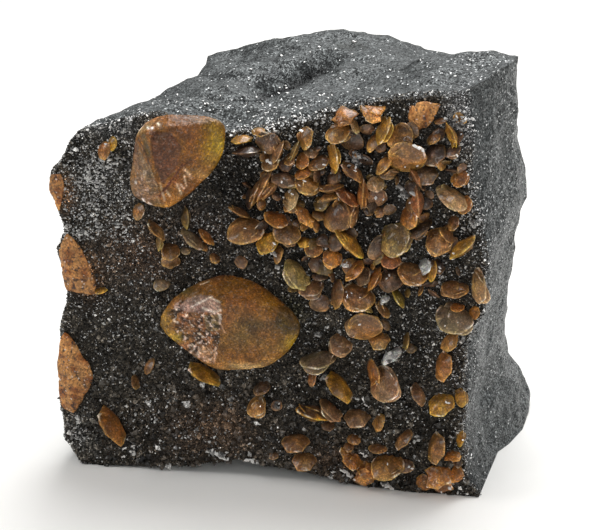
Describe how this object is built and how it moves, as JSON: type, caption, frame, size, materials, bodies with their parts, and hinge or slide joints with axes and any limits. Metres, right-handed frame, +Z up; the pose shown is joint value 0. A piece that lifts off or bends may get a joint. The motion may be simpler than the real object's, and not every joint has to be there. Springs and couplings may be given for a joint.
{
  "type": "sturmanite mineral specimen",
  "caption": "Block of black manganese ore that rests on a flat foot, its front face grown over with brown lens-shaped sturmanite crystals, two of them large.",
  "frame": {"origin": "centre of the flat foot's outline in plan, on the surface that the specimen rests on", "axes": "+Z up, -Y out of the crystal-covered front face, +X along the front face to the right as seen from the front"},
  "size_m": [0.0558, 0.0349, 0.0499],
  "materials": {
    "manganese_ore": "broken, fine-grained black ore with a fine metallic sparkle, and a dark crust of tiny crystals on its front",
    "sturmanite_large": "waxy to vitreous crystal faces, etched in patches, translucent yellow at thin edges",
    "sturmanite_small": "waxy to vitreous crystal faces, brown to orange, some golden and translucent",
    "sturmanite_broken": "rough, pitted and matt, terracotta to tan"
  },
  "bodies": {
    "root": {"broken_crystal_left_bottom": "sturmanite_broken", "broken_crystal_left_middle": "sturmanite_broken", "broken_crystal_left_top": "sturmanite_broken", "broken_crystal_top_edge": "sturmanite_broken", "cluster_centre_far_right_a": "sturmanite_small", "cluster_centre_far_right_b": "sturmanite_small", "cluster_centre_left": "sturmanite_small", "cluster_centre_middle": "sturmanite_small", "cluster_centre_right_a": "sturmanite_small", "cluster_centre_right_b": "sturmanite_small", "cluster_centre_right_c": "sturmanite_small", "cluster_centre_right_d": "sturmanite_small", "cluster_foot_far_right": "sturmanite_small", "cluster_foot_middle": "sturmanite_small", "cluster_foot_right_a": "sturmanite_small", "cluster_foot_right_b": "sturmanite_small", "cluster_lower_right_a": "sturmanite_small", "cluster_lower_right_b": "sturmanite_small", "cluster_top_far_right": "sturmanite_small", "cluster_top_middle_a": "sturmanite_small", "cluster_top_middle_b": "sturmanite_small", "cluster_top_middle_c": "sturmanite_small", "cluster_top_right_a": "sturmanite_small", "cluster_top_right_b": "sturmanite_small", "cluster_upper_far_right_a": "sturmanite_small", "cluster_upper_far_right_b": "sturmanite_small", "cluster_upper_middle_a": "sturmanite_small", "cluster_upper_middle_b": "sturmanite_small", "cluster_upper_middle_c": "sturmanite_small", "cluster_upper_middle_d": "sturmanite_small", "cluster_upper_right_a": "sturmanite_small", "cluster_upper_right_b": "sturmanite_small", "cluster_upper_right_c": "sturmanite_small", "crystal_centre_left": "sturmanite_small", "crystal_foot_far_right_a": "sturmanite_small", "crystal_foot_far_right_b": "sturmanite_small", "crystal_foot_far_right_c": "sturmanite_small", "crystal_foot_left": "sturmanite_small", "crystal_foot_middle_a": "sturmanite_small", "crystal_foot_middle_b": "sturmanite_small", "crystal_foot_right": "sturmanite_small", "crystal_lower_far_right_a": "sturmanite_small", "crystal_lower_far_right_b": "sturmanite_small", "crystal_lower_left": "sturmanite_small", "crystal_lower_right_a": "sturmanite_small", "crystal_lower_right_b": "sturmanite_small", "crystal_lower_right_c": "sturmanite_small", "crystal_top_far_right_a": "sturmanite_small", "crystal_top_far_right_b": "sturmanite_small", "crystal_top_right": "sturmanite_small", "crystal_upper_far_right_a": "sturmanite_small", "crystal_upper_far_right_b": "sturmanite_small", "crystal_upper_left": "sturmanite_small", "crystal_upper_middle": "sturmanite_small", "large_crystal_lower": "sturmanite_large", "large_crystal_upper": "sturmanite_large", "ore_matrix": "manganese_ore"}
  },
  "joints": []
}
